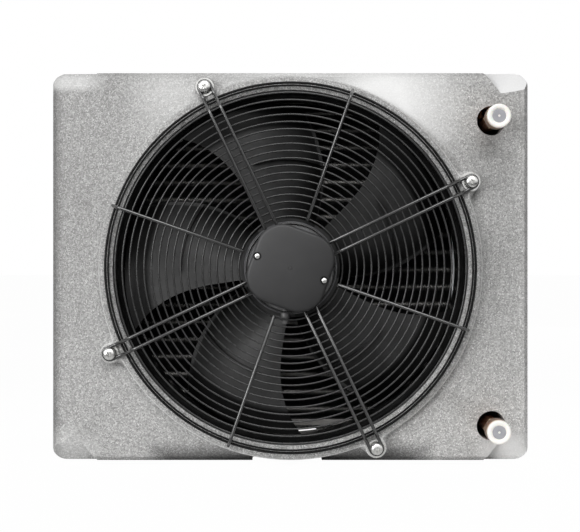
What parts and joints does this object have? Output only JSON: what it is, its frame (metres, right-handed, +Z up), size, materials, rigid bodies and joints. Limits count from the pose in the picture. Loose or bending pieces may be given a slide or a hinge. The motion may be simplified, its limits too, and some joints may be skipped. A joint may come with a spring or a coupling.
{
  "type": "water fan heater",
  "caption": "Wall or ceiling water fan heater in a foam casing: guarded axial fan behind, finned water coil, capped pipe stubs, tilting air louvres in front.",
  "frame": {"origin": "on the base plane, midway between the two lower bracket inserts, under the fan axis", "axes": "+X to the right seen from the fan side, +Y the way the air blows, towards the louvres, +Z up"},
  "size_m": [0.65, 0.392, 0.53],
  "materials": {
    "foam": "matte",
    "nozzle_black": "gloss",
    "guard_black": "satin",
    "zinc_steel": "satin",
    "motor_dark": "matte",
    "seal_rubber": "matte",
    "motor_cast": "satin",
    "motor_steel": "satin",
    "copper": "satin",
    "coil_aluminium": "satin",
    "coil_plate": "satin",
    "brass": "satin",
    "cap_plastic": "satin",
    "blade_plastic": "satin",
    "louvre_grey": "satin"
  },
  "bodies": {
    "casing": {"rear_shell": "foam", "front_shell": "foam", "fan_nozzle": "nozzle_black", "guard_rings": "guard_black", "guard_spokes": "guard_black", "guard_arms": "guard_black", "guard_washers": "zinc_steel", "guard_bolts": "zinc_steel", "guard_inserts": "zinc_steel", "motor_cap": "motor_dark", "motor_cap_screws": "zinc_steel", "motor_cap_gasket": "seal_rubber", "motor_base_plate": "motor_dark", "cable_gland": "seal_rubber", "stator_flange": "motor_cast", "stator_stack": "motor_steel", "stator_windings": "copper", "motor_bearings": "motor_steel", "coil_fins": "coil_aluminium", "coil_tubes": "copper", "return_bends": "copper", "coil_end_plate_left": "coil_plate", "coil_end_plate_right": "coil_plate", "coil_bottom_plate": "coil_plate", "coil_top_plate": "coil_plate", "return_header": "copper", "supply_header": "copper", "return_stub_pipe": "copper", "supply_stub_pipe": "copper", "return_fitting": "brass", "supply_fitting": "brass", "louvre_rail_left": "louvre_grey", "louvre_rail_right": "louvre_grey", "bracket_inserts": "zinc_steel"},
    "rotor": {"rotor_pot": "motor_cast", "rotor_shaft": "motor_steel", "rotor_magnets": "motor_steel", "impeller": "blade_plastic"},
    "return_cap": {"return_cap": "cap_plastic"},
    "supply_cap": {"supply_cap": "cap_plastic"},
    "louvre_1": {"louvre_1": "louvre_grey"},
    "louvre_2": {"louvre_2": "louvre_grey"},
    "louvre_3": {"louvre_3": "louvre_grey"},
    "louvre_4": {"louvre_4": "louvre_grey"},
    "louvre_5": {"louvre_5": "louvre_grey"}
  },
  "joints": [
    {"name": "fan_spin", "type": "hinge", "parent": "casing", "child": "rotor", "pos_m": [0, -0.14, 0.264], "axis": [0, -1, 0], "continuous": true},
    {"name": "louvre_1_tilt", "type": "hinge", "parent": "casing", "child": "louvre_1", "pos_m": [0, 0.124, 0.09], "axis": [1, 0, 0], "range_deg": [-60, 60]},
    {"name": "louvre_2_tilt", "type": "hinge", "parent": "casing", "child": "louvre_2", "pos_m": [0, 0.124, 0.178], "axis": [1, 0, 0], "range_deg": [-60, 60]},
    {"name": "louvre_3_tilt", "type": "hinge", "parent": "casing", "child": "louvre_3", "pos_m": [0, 0.124, 0.266], "axis": [1, 0, 0], "range_deg": [-60, 60]},
    {"name": "louvre_4_tilt", "type": "hinge", "parent": "casing", "child": "louvre_4", "pos_m": [0, 0.124, 0.354], "axis": [1, 0, 0], "range_deg": [-60, 60]},
    {"name": "louvre_5_tilt", "type": "hinge", "parent": "casing", "child": "louvre_5", "pos_m": [0, 0.124, 0.442], "axis": [1, 0, 0], "range_deg": [-60, 60]},
    {"name": "return_cap_pull", "type": "slide", "parent": "casing", "child": "return_cap", "axis": [0, -1, 0], "range_m": [0, 0.03]},
    {"name": "supply_cap_pull", "type": "slide", "parent": "casing", "child": "supply_cap", "axis": [0, -1, 0], "range_m": [0, 0.03]}
  ]
}
